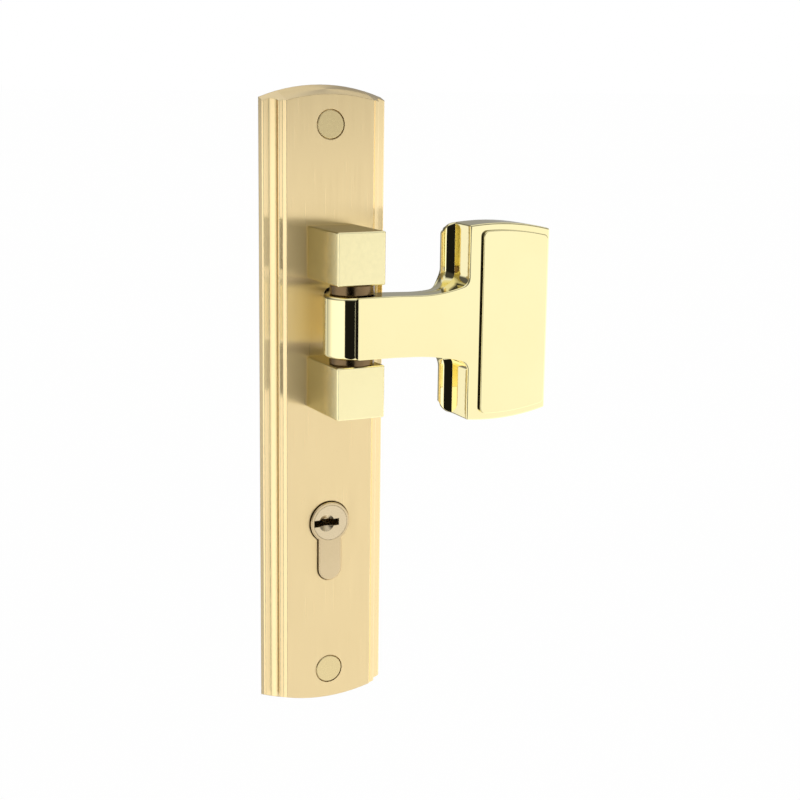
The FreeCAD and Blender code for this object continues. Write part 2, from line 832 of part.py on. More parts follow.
def make_cylinder_body():
    front = cylinder_front_y
    body = profile_outline(0, front, cylinder_back_y)
    rims = edges_where(body, lambda edge: edge.BoundBox.YMax < front + 0.01)
    body = body.makeChamfer(cylinder_edge, rims)
    slot_front = cam_middle_y - cam_slot_half
    slot_back = cam_middle_y + cam_slot_half
    side = cylinder_head_radius + cut_past
    web_top = cylinder_z - cylinder_head_radius - cylinder_web
    body = body.cut(box(-side, side, slot_front, slot_back, web_top, cylinder_z + side))
    body = body.cut(rod_y(0, cylinder_z, cam_reach + bore_play, slot_front, slot_back))
    body = body.cut(rod_y(0, cylinder_z, plug_radius + running_clearance, front - cut_past, slot_front))
    tail_bore = plug_tail_radius + running_clearance
    body = body.cut(rod_y(0, cylinder_z, tail_bore, slot_back, cylinder_back_y + cut_past))
    seat_y = front + plug_face_height + running_clearance
    body = body.cut(rod_y(0, cylinder_z, plug_face_radius + plug_face_clearance, front - cut_past, seat_y))
    for y in stack_places():
        bore = rod_z(0, y, pin_bore_radius + seat_clearance, stem_bottom + stem_floor, cylinder_z)
        body = body.cut(bore)
    thread = Part.makeCylinder(fixing_screw_radius, 2 * side,
                               vec(-side, cam_middle_y, stem_bottom + fixing_screw_above_foot), vec(1, 0, 0))
    return body.cut(thread)


def make_plug():
    front = cylinder_front_y
    plug = rod_y(0, cylinder_z, plug_face_radius, front, front + plug_face_height)
    barrel = rod_y(0, cylinder_z, plug_radius, front, cam_middle_y - cam_slot_half)
    tail = rod_y(0, cylinder_z, plug_tail_radius, front, cylinder_back_y - plug_tail_recess)
    plug = plug.fuse([barrel, tail])
    left = -plug_face_radius
    half = keyway_height / 2
    keyway = box(left, left + keyway_width, front - cut_past, front + keyway_depth,
                 cylinder_z - half, cylinder_z + half)
    sink_x = left + keyway_width / 2
    sink = cone_y(sink_x, cylinder_z, countersink_radius, countersink_foot, front, front + countersink_depth)
    plug = plug.cut(keyway).cut(sink)
    for y in stack_places():
        bore = rod_z(0, y, pin_bore_radius + seat_clearance, cylinder_z - pin_bore_top, cylinder_z)
        plug = plug.cut(bore)
    return plug.cut(cam_pin_rod(seat_clearance))


def make_key_pins():
    pins = []
    for y in stack_places():
        top = shear_z + key_pin_length
        pin = rod_z(0, y, pin_bore_radius, shear_z, top)
        tip = Part.makeCone(pin_bore_radius, key_pin_tip_radius, key_pin_tip_length, vec(0, y, top))
        pins.append(pin.fuse(tip))
    return Part.makeCompound(pins)


def make_driver_pins():
    pins = []
    for y in stack_places():
        top = cylinder_z - plug_radius - side_play
        pins.append(rod_z(0, y, pin_bore_radius, top - driver_pin_length, top))
    return Part.makeCompound(pins)


def cam_pin_rod(clearance):
    # Pin that locks the cam to the plug's tail, across its upper half.
    top = cylinder_z + cam_ring_radius - side_play + clearance
    return rod_z(0, cam_middle_y, cam_pin_radius + clearance, cylinder_z - clearance, top)


def make_cam():
    low = cam_middle_y - cam_width / 2
    high = cam_middle_y + cam_width / 2
    ring = rod_y(0, cylinder_z, cam_ring_radius, low, high)
    half = cam_nose_width / 2
    nose_z = cylinder_z - cam_reach + half
    nose = box(-half, half, low, high, nose_z, cylinder_z).fuse(rod_y(0, nose_z, half, low, high))
    nose.rotate(vec(0, 0, cylinder_z), vec(0, 1, 0), cam_nose_angle)
    bore = rod_y(0, cylinder_z, plug_tail_radius + running_clearance, low - cut_past, high + cut_past)
    return ring.fuse(nose).cut(bore).cut(cam_pin_rod(seat_clearance))


save("backplate", make_backplate())
save("upper_block", make_block(1))
save("lower_block", make_block(-1))
save("pivot_pin", make_pin())
save("pin_screw", make_pin_screw())
save("upper_spacer", make_spacer(1))
save("lower_spacer", make_spacer(-1))
save("upper_bush", make_bush(1))
save("lower_bush", make_bush(-1))
save("tee_handle", make_tee_handle())
save("drive_finger", make_drive_finger())
save("spindle_crank", make_crank())
save("spindle", make_spindle())
save("wear_washer", make_wear_washer())
save("mechanism_cover", make_cover())
save("cover_bush", make_cover_bush())
save("cover_screws", make_cover_screws())
save("return_spring", make_return_spring())
save("block_screws", make_block_screws())
save("fixing_posts", make_fixing_posts())
save("cylinder_body", make_cylinder_body())
save("outer_plug", make_plug())
save("outer_key_pins", make_key_pins())
save("driver_pins", make_driver_pins())
save("cam_pin", cam_pin_rod(0))
save("cylinder_cam", make_cam())
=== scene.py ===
import bmesh
import bpy
import math
from mathutils import Matrix, Vector


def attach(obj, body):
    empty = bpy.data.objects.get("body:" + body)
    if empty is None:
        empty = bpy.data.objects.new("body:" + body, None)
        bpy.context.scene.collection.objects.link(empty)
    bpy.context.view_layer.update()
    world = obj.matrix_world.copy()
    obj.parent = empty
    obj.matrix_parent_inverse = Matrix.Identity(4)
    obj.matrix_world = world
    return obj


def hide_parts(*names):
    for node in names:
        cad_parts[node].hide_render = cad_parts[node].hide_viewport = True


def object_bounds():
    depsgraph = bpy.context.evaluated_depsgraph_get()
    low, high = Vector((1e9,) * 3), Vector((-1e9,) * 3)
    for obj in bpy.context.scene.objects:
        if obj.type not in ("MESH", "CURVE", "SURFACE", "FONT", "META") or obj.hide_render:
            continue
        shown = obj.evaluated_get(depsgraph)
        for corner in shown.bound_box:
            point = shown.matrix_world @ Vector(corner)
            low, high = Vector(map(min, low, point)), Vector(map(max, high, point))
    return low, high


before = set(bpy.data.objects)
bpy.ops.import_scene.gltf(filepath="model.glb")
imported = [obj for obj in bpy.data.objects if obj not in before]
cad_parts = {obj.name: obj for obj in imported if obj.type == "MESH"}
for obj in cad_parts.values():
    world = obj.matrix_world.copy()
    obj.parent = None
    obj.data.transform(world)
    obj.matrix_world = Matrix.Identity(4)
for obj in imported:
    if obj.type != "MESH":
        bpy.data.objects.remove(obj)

cad_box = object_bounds()

MM = 0.001

# Camera, fitted to the photograph: millimetres and degrees in the part's own frame
CAMERA_PLACE = Vector((-251.5, -572.9, 95.3)) * MM
CAMERA_YAW = 26.7
CAMERA_PITCH = 11.84
CAMERA_ROLL = 0.77
FOCAL_PIXELS = 1566.0
PICTURE_PIXELS = 800.0
SENSOR_MM = 36.0
CLIP_NEAR = 0.02
CLIP_FAR = 50.0

# Studio as the metal sees it: azimuths in degrees, 0 towards -Y and positive towards +X
LEVELS_BELOW = [
    (-180, 0.28), (-158, 0.20), (-156.2, 1.0), (-147, 1.05), (-142, 0.42), (-125, 0.80), (-108, 1.25),
    (-54, 1.30), (-52, 0.01), (-12, 0.01), (-10, 0.60), (0, 0.95), (30, 1.06), (50, 1.30),
    (120, 1.30), (140, 0.50), (180, 0.30),
]
LEVELS_ABOVE = [
    (-180, 0.25), (-172, 0.10), (-140, 0.10), (-120, 0.30), (-60, 0.50), (-50, 0.05), (-14, 0.05),
    (0, 0.20), (50, 0.24), (90, 0.34), (140, 0.34), (165, 0.32), (180, 0.25),
]
LEVEL_OVERHEAD = 0.85
HORIZON_BLEND = (-0.06, 0.10)
OVERHEAD_BLEND = (0.5, 0.75)
GREY_WARMTH = (1.0, 0.99, 0.97)
DIFFUSE_LEVEL = 0.8

# White floor, in metres below the part and to each side
FLOOR_DROP = 0.16
FLOOR_REACH = 30.0
FLOOR_GLOW = 1.03
FLOOR_GLOW_PART = 0.9
FLOOR_LIGHT = (0.87, 0.87, 0.86)
FLOOR_DARK = (0.84, 0.84, 0.83)
FLOOR_SCALE = 3.0
FLOOR_ROUGHNESS = 0.9

# Every metal: tone that drifts over the piece, fine grain and softened edges
NOISE_LOW = 0.3
NOISE_HIGH = 0.7
DRIFT_SCALE = 28.0
DRIFT_DETAIL = 4.0
GRAIN_SCALE = 900.0
GRAIN_DETAIL = 3.0
GRAIN_ROUGHNESS = 0.6
GRAIN_STRENGTH = 0.02
GRAIN_HEIGHT = 0.1 * MM
EDGE_RADIUS = 0.3 * MM
EDGE_SAMPLES = 6

# Plate: its face is brushed upright, its mouldings are brighter
SATIN_LIGHT = (0.985, 0.79, 0.445)
SATIN_DARK = (0.97, 0.775, 0.43)
FACE_HALF_WIDTH = 18.5 * MM
FACE_BLEND = 0.2 * MM
FACE_ROUGHNESS = 0.30
MOULDING_ROUGHNESS = 0.17
BRUSH_STRETCH = (1.0, 1.0, 0.012)
BRUSH_SCALE = 2600.0
BRUSH_STRENGTH = 0.10
BRUSH_DRIFT = (0.9, 1.1)

# Handle: polished, with nearly even tone and hardly softened edges
POLISHED_LIGHT = (0.97, 0.89, 0.52)
POLISHED_DARK = (0.95, 0.86, 0.49)
POLISHED_ROUGHNESS = (0.02, 0.06)
HANDLE_EDGE_RADIUS = 0.08 * MM

# Wear washer: white nylon
NYLON_LIGHT = (0.86, 0.85, 0.81)
NYLON_DARK = (0.78, 0.77, 0.72)
NYLON_SCALE = 120.0
NYLON_ROUGHNESS = (0.4, 0.55)

# Other metals: light tone, dark tone, lowest and highest roughness, and the nodes that take it
METALS = {
    "block_brass": ((0.97, 0.89, 0.53), (0.95, 0.86, 0.50), 0.18, 0.25, ("upper_block", "lower_block")),
    "cylinder_brass": ((0.75, 0.61, 0.385), (0.67, 0.535, 0.325), 0.18, 0.28, ("cylinder_body",)),
    "plug_brass": ((0.77, 0.64, 0.43), (0.72, 0.60, 0.40), 0.18, 0.30, ("outer_plug", "outer_key_pins")),
    "post_brass": ((0.81, 0.67, 0.36), (0.76, 0.62, 0.33), 0.24, 0.34, ("fixing_posts",)),
    # Bronze darkened far below its own colour: painted shade for the spacers in the shaded gaps between the
    # blocks and the hub; the bushes inside the hub take the same dark tone.
    "bearing_bronze": ((0.23, 0.155, 0.08), (0.18, 0.12, 0.06), 0.16, 0.28,
                       ("upper_bush", "lower_bush", "cover_bush", "upper_spacer", "lower_spacer")),
    "bright_steel": ((0.66, 0.65, 0.63), (0.58, 0.57, 0.55), 0.12, 0.22,
                     ("pivot_pin", "drive_finger", "driver_pins", "cam_pin")),
    "zinc_steel": ((0.68, 0.68, 0.67), (0.58, 0.58, 0.58), 0.25, 0.42,
                   ("spindle_crank", "spindle", "mechanism_cover", "cover_screws", "cylinder_cam")),
    "black_steel": ((0.09, 0.09, 0.10), (0.05, 0.05, 0.06), 0.3, 0.45, ("pin_screw", "block_screws")),
    "spring_steel": ((0.46, 0.46, 0.47), (0.36, 0.36, 0.38), 0.2, 0.35, ("return_spring",)),
}

# T handle, in millimetres: the solid's form with finer rounds
HANDLE_DROP = 0.6
GRIP_DROP = 0.6

# Its hub, round the pin
HUB_RADIUS = 11.3
HUB_HALF = 12.0
HUB_ROUND = 1.3
HUB_STEPS = 96
HUB_ROUND_STEPS = 6
PIN_Y = -30.7
BUSH_RADIUS = 4.6
BUSH_LENGTH = 7.0
BORE_RADIUS = 3.4

# Its arm, and the arm's root on the hub
ARM_FRONT_Y = -42.0
ARM_REAR_Y = -29.5
ARM_ROOT_REAR_Y = -35.6
ARM_RIM = 0.35
ARM_REAR_ROUND = 0.8
ARM_LEVEL_LENGTH = 22.6
ARM_PLACES = (5.0, 6.5, 14.0, ARM_LEVEL_LENGTH)
ARM_RISE = 2.7
ARM_CORNER = 3.0
ROOT_ROUND = 2.0
ROOT_START_X = -3.7
ROOT_FLAT_X = -2.5
ROOT_FLAT_STEP = 3
ROOT_PLACES = (0.0, 0.2, 0.6, 1.2, 2.0)

# Its grip: flat side, flare and lip on the left, crowned back, arched ends
GRIP_MIDDLE = 63.2
GRIP_LEFT = 45.2
GRIP_HALF_HEIGHT = 39.3
GRIP_BACK_Y = -19.3
CROWN_RADIUS = 85.0
ARCH_RADIUS = 97.0
ARCH_CREST = 57.2
RIM = 0.6
SIDE_SPLAY = -0.5
SIDE_DEPTH = 13.3
SIDE_PLACES = ((0.5, -39.5), (0.9, -37.8), (1.0, -37.0))
FLARE_FACING = -29.0
FLARE_LENGTH = 2.8
LIP_RADIUS = 3.0
LIP_RISE = 1.1
LIP_CORNER = 5.1
LIP_FIRST_CORNER = 3.5
LIP_ARM_Y = (-36.2, -31.6)
LIP_BACK_Y = -24.5
BACK_ROUND = 3.4
BACK_CORNER = 8.0
BACK_FACING = -168.0
SWEEP_START_X = 33.0
SWEEP_END_X = 43.0
TOP_ROUND_START = -29.0
TOP_ROUND_LENGTH = 10.5
TOP_ROUND_DROP = 9.0
LIP_ROUND_LENGTH = 4.2
LIP_ROUND_DROP = 6.0

# Steps of the grip's curves, and what counts as a sharp edge
RIM_STEPS = 4
LIP_STEPS = 8
BACK_STEPS = 6
CROWN_STEPS = 7
RISE_STEPS = 10
CORNER_STEPS = 12
WALL_ROWS = 6
END_STEPS = 14
END_ROUND_ANGLES = (0.0, 30.0, 60.0, 90.0)
SHARP_ANGLE = 28.0
FRONT_FACING = -0.9999
NORMAL_WEIGHT = 90
MERGE_DISTANCE = 0.003 * MM
SPLINTER_LENGTH = 0.002 * MM

# Its raised panel
PANEL_LEFT = 50.6
PANEL_RIGHT = 79.9
PANEL_MARGIN = 2.8
PANEL_RISE = 1.4
PANEL_ARCH = 94.0
PANEL_CORNER = 2.4
PANEL_ROUND = 0.35
PANEL_ROUND_ANGLES = (0.0, 22.5, 45.0, 67.5, 90.0)
PANEL_CORNER_STEPS = 6


def new_material(name):
    material = bpy.data.materials.new(name)
    material.use_nodes = True
    tree = material.node_tree
    shader = tree.nodes["Principled BSDF"]
    return material, tree, shader


def add(tree, kind, **values):
    node = tree.nodes.new(kind)
    for key, value in values.items():
        setattr(node, key, value)
    return node


def object_place(tree, scale=(1.0, 1.0, 1.0)):
    coords = add(tree, "ShaderNodeTexCoord")
    mapping = add(tree, "ShaderNodeMapping")
    mapping.inputs["Scale"].default_value = scale
    tree.links.new(coords.outputs["Object"], mapping.inputs["Vector"])
    return mapping.outputs["Vector"]


def noise(tree, place, scale, detail=3.0, roughness=0.5):
    node = add(tree, "ShaderNodeTexNoise")
    node.inputs["Scale"].default_value = scale
    node.inputs["Detail"].default_value = detail
    node.inputs["Roughness"].default_value = roughness
    tree.links.new(place, node.inputs["Vector"])
    return node.outputs["Fac"]


def spread(tree, value, low, high, start=NOISE_LOW, stop=NOISE_HIGH):
    node = add(tree, "ShaderNodeMapRange")
    node.inputs["From Min"].default_value = start
    node.inputs["From Max"].default_value = stop
    node.inputs["To Min"].default_value = low
    node.inputs["To Max"].default_value = high
    tree.links.new(value, node.inputs["Value"])
    return node.outputs["Result"]


def two_tone(tree, value, first, second):
    ramp = add(tree, "ShaderNodeValToRGB")
    ramp.color_ramp.elements[0].position = NOISE_LOW
    ramp.color_ramp.elements[0].color = (*first, 1.0)
    ramp.color_ramp.elements[1].position = NOISE_HIGH
    ramp.color_ramp.elements[1].color = (*second, 1.0)
    tree.links.new(value, ramp.inputs["Fac"])
    return ramp.outputs["Color"]


def raised(tree, height, strength, below):
    node = add(tree, "ShaderNodeBump")
    node.inputs["Strength"].default_value = strength
    node.inputs["Distance"].default_value = GRAIN_HEIGHT
    tree.links.new(height, node.inputs["Height"])
    tree.links.new(below, node.inputs["Normal"])
    return node.outputs["Normal"]


def soft_edges(tree, radius):
    node = add(tree, "ShaderNodeBevel", samples=EDGE_SAMPLES)
    node.inputs["Radius"].default_value = radius
    return node.outputs["Normal"]


def metal(name, light, dark, low_rough, high_rough, edge=EDGE_RADIUS):
    # One metal finish: tone drift, roughness drift, a fine grain and softened edges.
    material, tree, shader = new_material(name)
    shader.inputs["Metallic"].default_value = 1.0
    wide = noise(tree, object_place(tree), DRIFT_SCALE, DRIFT_DETAIL)
    fine = noise(tree, object_place(tree), GRAIN_SCALE, GRAIN_DETAIL, GRAIN_ROUGHNESS)
    tree.links.new(two_tone(tree, wide, dark, light), shader.inputs["Base Color"])
    tree.links.new(spread(tree, fine, low_rough, high_rough), shader.inputs["Roughness"])
    tree.links.new(raised(tree, fine, GRAIN_STRENGTH, soft_edges(tree, edge)), shader.inputs["Normal"])
    return material


def plate_brass():
    # Brass brushed upright on the face: it blurs sideways and stays sharp up and down.
    material, tree, shader = new_material("satin_brass")
    shader.inputs["Metallic"].default_value = 1.0
    shader.inputs["Anisotropic"].default_value = 1.0
    wide = noise(tree, object_place(tree), DRIFT_SCALE, DRIFT_DETAIL)
    streaks = noise(tree, object_place(tree, BRUSH_STRETCH), BRUSH_SCALE, GRAIN_DETAIL, GRAIN_ROUGHNESS)
    tree.links.new(two_tone(tree, wide, SATIN_DARK, SATIN_LIGHT), shader.inputs["Base Color"])
    coords = add(tree, "ShaderNodeTexCoord")
    split = add(tree, "ShaderNodeSeparateXYZ")
    tree.links.new(coords.outputs["Object"], split.inputs["Vector"])
    side = add(tree, "ShaderNodeMath", operation="ABSOLUTE")
    tree.links.new(split.outputs["X"], side.inputs[0])
    start = spread(tree, side.outputs[0], FACE_ROUGHNESS, MOULDING_ROUGHNESS, FACE_HALF_WIDTH,
                   FACE_HALF_WIDTH + FACE_BLEND)
    drift = add(tree, "ShaderNodeMath", operation="MULTIPLY")
    tree.links.new(start, drift.inputs[0])
    tree.links.new(spread(tree, streaks, *BRUSH_DRIFT), drift.inputs[1])
    tree.links.new(drift.outputs[0], shader.inputs["Roughness"])
    normal = raised(tree, streaks, BRUSH_STRENGTH, soft_edges(tree, EDGE_RADIUS))
    tree.links.new(normal, shader.inputs["Normal"])
    return material


def white_nylon():
    material, tree, shader = new_material("white_nylon")
    drift = noise(tree, object_place(tree), NYLON_SCALE)
    tree.links.new(two_tone(tree, drift, NYLON_DARK, NYLON_LIGHT), shader.inputs["Base Color"])
    tree.links.new(spread(tree, drift, *NYLON_ROUGHNESS), shader.inputs["Roughness"])
    return material


def arc_points(middle, radius, start, end, steps):
    # Points of an arc seen from above: angles from -Y, positive towards +X.
    points = []
    for step in range(steps + 1):
        angle = math.radians(start + (end - start) * step / steps)
        points.append((middle[0] + radius * math.sin(angle), middle[1] - radius * math.cos(angle)))
    return points


def smooth_step(value):
    value = min(max(value, 0.0), 1.0)
    return value * value * (3.0 - 2.0 * value)


def blend(first, second, part):
    return first + (second - first) * part


def crown_y(x):
    # Back of the grip, crowned from side to side.
    return GRIP_BACK_Y - CROWN_RADIUS + math.sqrt(CROWN_RADIUS ** 2 - (GRIP_MIDDLE - x) ** 2)


def grip_columns():
    # Left half of the grip seen from above, from the front rim round to the middle of the back.
    # Each column: x and y on the grip, height and y on the arm, rise, corner, and whether it is crown.
    rim_middle = (GRIP_LEFT + RIM, ARM_FRONT_Y + RIM)
    flat_end = (GRIP_LEFT - SIDE_SPLAY, ARM_FRONT_Y + SIDE_DEPTH)
    flare = math.radians(FLARE_FACING)
    flare_end = (flat_end[0] - FLARE_LENGTH * math.cos(flare), flat_end[1] - FLARE_LENGTH * math.sin(flare))
    lip_middle = (flare_end[0] - LIP_RADIUS * math.sin(flare), flare_end[1] + LIP_RADIUS * math.cos(flare))
    side_facing = -90.0 + math.degrees(math.atan2(SIDE_SPLAY, SIDE_DEPTH))
    columns = []
    for step, (x, y) in enumerate(arc_points(rim_middle, RIM, 0.0, side_facing, RIM_STEPS)):
        turn = math.radians(90.0 * step / RIM_STEPS)
        level = HUB_HALF - ARM_RIM * (1.0 - math.sin(turn))
        arm_y = ARM_FRONT_Y + ARM_RIM * (1.0 - math.cos(turn))
        columns.append((x, y, level, arm_y, ARM_RISE, ARM_CORNER, False))
    start = columns[-1]
    for part, arm_y in SIDE_PLACES:
        x = blend(start[0], flat_end[0], part)
        y = blend(start[1], flat_end[1], part)
        columns.append((x, y, HUB_HALF, arm_y, ARM_RISE, ARM_CORNER, False))
    for step, (x, y) in enumerate(arc_points(lip_middle, LIP_RADIUS, FLARE_FACING, -90.0, LIP_STEPS)):
        part = step / LIP_STEPS
        rise = blend(ARM_RISE, LIP_RISE, smooth_step(part))
        corner = blend(LIP_FIRST_CORNER, LIP_CORNER, smooth_step(part))
        columns.append((x, y, HUB_HALF, blend(*LIP_ARM_Y, part), rise, corner, False))
    corner_middle = (lip_middle[0] - LIP_RADIUS + BACK_ROUND, LIP_BACK_Y)
    for step, (x, y) in enumerate(arc_points(corner_middle, BACK_ROUND, -90.0, BACK_FACING, BACK_STEPS)):
        part = step / BACK_STEPS
        turn = math.radians(90.0 * part)
        level = HUB_HALF - ARM_REAR_ROUND * (1.0 - math.cos(turn))
        arm_y = ARM_REAR_Y - ARM_REAR_ROUND * (1.0 - math.sin(turn))
        columns.append((x, y, level, arm_y, LIP_RISE, blend(LIP_CORNER, BACK_CORNER, part), False))
    first = columns[-1]
    for step in range(1, CROWN_STEPS + 1):
        part = step / CROWN_STEPS
        x = blend(first[0], GRIP_MIDDLE, part)
        columns.append((x, crown_y(x), first[2] * (1.0 - part), ARM_REAR_Y, LIP_RISE * (1.0 - part),
                        BACK_CORNER, True))
    return columns


def across(first, second, step):
    # A place between the grip's two sides, with the steps closer together near each side.
    return blend(first, second, (1.0 - math.cos(math.pi * step / END_STEPS)) / 2.0)


def grip_top(x, y):
    # Arched from side to side, rounded down towards the back and over the flared lips.
    arch = GRIP_HALF_HEIGHT - ARCH_RADIUS + math.sqrt(ARCH_RADIUS ** 2 - (x - ARCH_CREST) ** 2)
    back = max(y - TOP_ROUND_START, 0.0) / TOP_ROUND_LENGTH
    side = max(abs(x - GRIP_MIDDLE) - GRIP_MIDDLE + GRIP_LEFT, 0.0) / LIP_ROUND_LENGTH
    drop = TOP_ROUND_DROP * (1.0 - math.sqrt(1.0 - back * back))
    return arch - drop - LIP_ROUND_DROP * (1.0 - math.sqrt(1.0 - side * side))


def column_line(column):
    # One column of the arm's and the grip's border, from the hub out along the arm and up the grip.
    side_x, side_y, level, arm_y, rise, corner, crown = column
    places = []
    for out in ROOT_PLACES:
        short = ROOT_ROUND - math.sqrt(ROOT_ROUND ** 2 - (ROOT_ROUND - out) ** 2)
        places.append((ROOT_START_X + out, level * (1.0 - short / HUB_HALF)))
    places += [(x, level) for x in ARM_PLACES]
    run = side_x - corner - ARM_LEVEL_LENGTH
    turn = 2.0 * math.atan(rise / run)
    for step in range(1, RISE_STEPS + 1):
        part = step / RISE_STEPS
        if turn > 0.0:
            radius = run / math.sin(turn)
            angle = turn * part
            up = radius * (1.0 - math.cos(angle))
            places.append((ARM_LEVEL_LENGTH + radius * math.sin(angle), level + up))
        else:
            places.append((ARM_LEVEL_LENGTH + run * part, level))
    radius = corner / (1.0 - math.sin(turn))
    side_z = level + rise + radius * math.cos(turn)
    for step in range(1, CORNER_STEPS + 1):
        heading = blend(turn, math.pi / 2, step / CORNER_STEPS)
        places.append((side_x - radius * (1.0 - math.sin(heading)), side_z - radius * math.cos(heading)))
    top = grip_top(side_x, side_y) - RIM
    for step in range(1, WALL_ROWS + 1):
        places.append((side_x, blend(side_z, top, step / WALL_ROWS)))
    reach = min(side_x, SWEEP_END_X)
    line = []
    for x, z in places:
        grip_y = crown_y(x) if crown else side_y
        y = blend(arm_y, grip_y, smooth_step((x - SWEEP_START_X) / (reach - SWEEP_START_X)))
        if x < HUB_RADIUS / 2:
            y = min(y, ARM_ROOT_REAR_Y)
        if x < ROOT_FLAT_X:
            y = max(y, PIN_Y - math.sqrt(HUB_RADIUS ** 2 - x * x))
        line.append((x, y, z))
    return line


def right_x(x):
    # Right half of the grip: the left half's mirror image.
    return 2.0 * GRIP_MIDDLE - x


def flip(point):
    # The same place on the lower half of the handle.
    return (point[0], point[1], -point[2])


def lowered(point):
    # The whole handle sits low between the blocks, and the grip a little lower still.
    x, y, z = point
    part = smooth_step((x - ARM_LEVEL_LENGTH / 2) / ARM_LEVEL_LENGTH)
    return (x, y, z - HANDLE_DROP - GRIP_DROP * part)


def rounded_end(plan, sign):
    # Rows of points for the small round from the walls up to an end face.
    count = len(plan)
    rows = []
    for angle in END_ROUND_ANGLES:
        inward = RIM * (1.0 - math.cos(math.radians(angle)))
        lift = RIM * (math.sin(math.radians(angle)) - 1.0)
        row = []
        for index, (x, y) in enumerate(plan):
            before = plan[(index - 1) % count]
            after = plan[(index + 1) % count]
            along = Vector((after[0] - before[0], after[1] - before[1]))
            along.normalize()
            row.append((x - along.y * inward, y + along.x * inward, sign * (grip_top(x, y) + lift)))
        rows.append(row)
    return rows


def left_faces(lines):
    # Arm and left side of the grip, above and below, with the arm's end against the hub.
    faces = []
    rows = len(lines[0])
    for line, after in zip(lines, lines[1:]):
        for s in range(rows - 1):
            quad = [line[s], after[s], after[s + 1], line[s + 1]]
            faces.append(quad)
            faces.append([flip(point) for point in quad])
    for low, high in zip(lines[-1][:rows - 1 - WALL_ROWS], lines[-1][1:]):
        faces.append([low, high, flip(high), flip(low)])
    faces.append([line[0] for line in lines] + [flip(line[0]) for line in reversed(lines)])
    return faces


def right_walls(columns, start_z):
    # Points of the grip's right side, one list per column from the lower end to the upper end.
    walls = []
    for column in columns:
        x = right_x(column[0])
        y = column[1]
        top = grip_top(x, y) - RIM
        up = [(x, y, blend(start_z, top, step / WALL_ROWS)) for step in range(WALL_ROWS + 1)]
        walls.append([flip(point) for point in reversed(up)] + up)
    return walls


def grid_faces(rows):
    return [[low[step], low[step + 1], high[step + 1], high[step]]
            for low, high in zip(rows, rows[1:]) for step in range(len(low) - 1)]


def front_faces(first_line, front_xs, wall):
    # Flat front of arm and grip, and the narrow strips that turn from it on to the hub.
    edge = [(x, ARM_FRONT_Y, grip_top(x, ARM_FRONT_Y) - RIM) for x in front_xs]
    flat = first_line[ROOT_FLAT_STEP:]
    outline = flat + edge + list(reversed(wall))
    outline += [flip(point) for point in reversed(edge)] + [flip(point) for point in reversed(flat)]
    curved = zip(first_line[:ROOT_FLAT_STEP], first_line[1:])
    return [outline] + [[low, high, flip(high), flip(low)] for low, high in curved]


def end_faces(columns, front_xs, sign):
    # One arched end of the grip: its small round, and a grid over its face.
    last = len(columns) - 1
    left = [(column[0], column[1]) for column in columns]
    right = [(right_x(x), y) for x, y in left]
    plan = list(reversed(left)) + [(x, ARM_FRONT_Y) for x in front_xs] + right[:-1]
    rings = rounded_end(plan, sign)
    faces = grid_faces([ring + ring[:1] for ring in rings])
    rim = rings[-1]
    rim_left = rim[last::-1]
    rim_right = rim[last + END_STEPS:] + [rim[0]]
    grid = [rim[last:last + END_STEPS + 1]]
    for j in range(1, last + 1):
        y = rim_left[j][1]
        xs = [across(rim_left[j][0], rim_right[j][0], step) for step in range(1, END_STEPS)]
        grid.append([rim_left[j]] + [(x, y, sign * grip_top(x, y)) for x in xs] + [rim_right[j]])
    return faces + grid_faces(grid)


def handle_faces():
    columns = grip_columns()
    lines = [column_line(column) for column in columns]
    start_z = lines[-1][-1 - WALL_ROWS][2]
    walls = right_walls(columns, start_z)
    front_xs = [across(columns[0][0], right_x(columns[0][0]), step) for step in range(1, END_STEPS)]
    faces = left_faces(lines)
    faces += grid_faces(walls)
    faces += front_faces(lines[0], front_xs, walls[0])
    faces += end_faces(columns, front_xs, 1.0)
    faces += end_faces(columns, front_xs, -1.0)
    return [[lowered(point) for point in face] for face in faces]


def hub_section():
    # Half of the hub's section, as radius and height, with rounded edges and both bush seats.
    top = HUB_HALF - HANDLE_DROP
    bottom = -HUB_HALF - HANDLE_DROP
    inner = HUB_RADIUS - HUB_ROUND
    turns = [math.radians(90.0 * step / HUB_ROUND_STEPS) for step in range(HUB_ROUND_STEPS + 1)]
    edge = [(inner + HUB_ROUND * math.sin(turn), HUB_ROUND * (1.0 - math.cos(turn))) for turn in turns]
    section = [(BUSH_RADIUS, bottom + BUSH_LENGTH), (BUSH_RADIUS, bottom)]
    section += [(radius, bottom + in_from_end) for radius, in_from_end in edge]
    section += [(radius, top - in_from_end) for radius, in_from_end in reversed(edge)]
    return section + [(BUSH_RADIUS, top), (BUSH_RADIUS, top - BUSH_LENGTH), (BORE_RADIUS, top - BUSH_LENGTH),
                      (BORE_RADIUS, bottom + BUSH_LENGTH)]


def hub_faces():
    # Turned hub, bored for the pin and its two bushes.
    section = hub_section()
    rings = []
    for step in range(HUB_STEPS + 1):
        angle = 2.0 * math.pi * step / HUB_STEPS
        ring = [(radius * math.cos(angle), PIN_Y + radius * math.sin(angle), z) for radius, z in section]
        rings.append(ring + ring[:1])
    return grid_faces(rings)


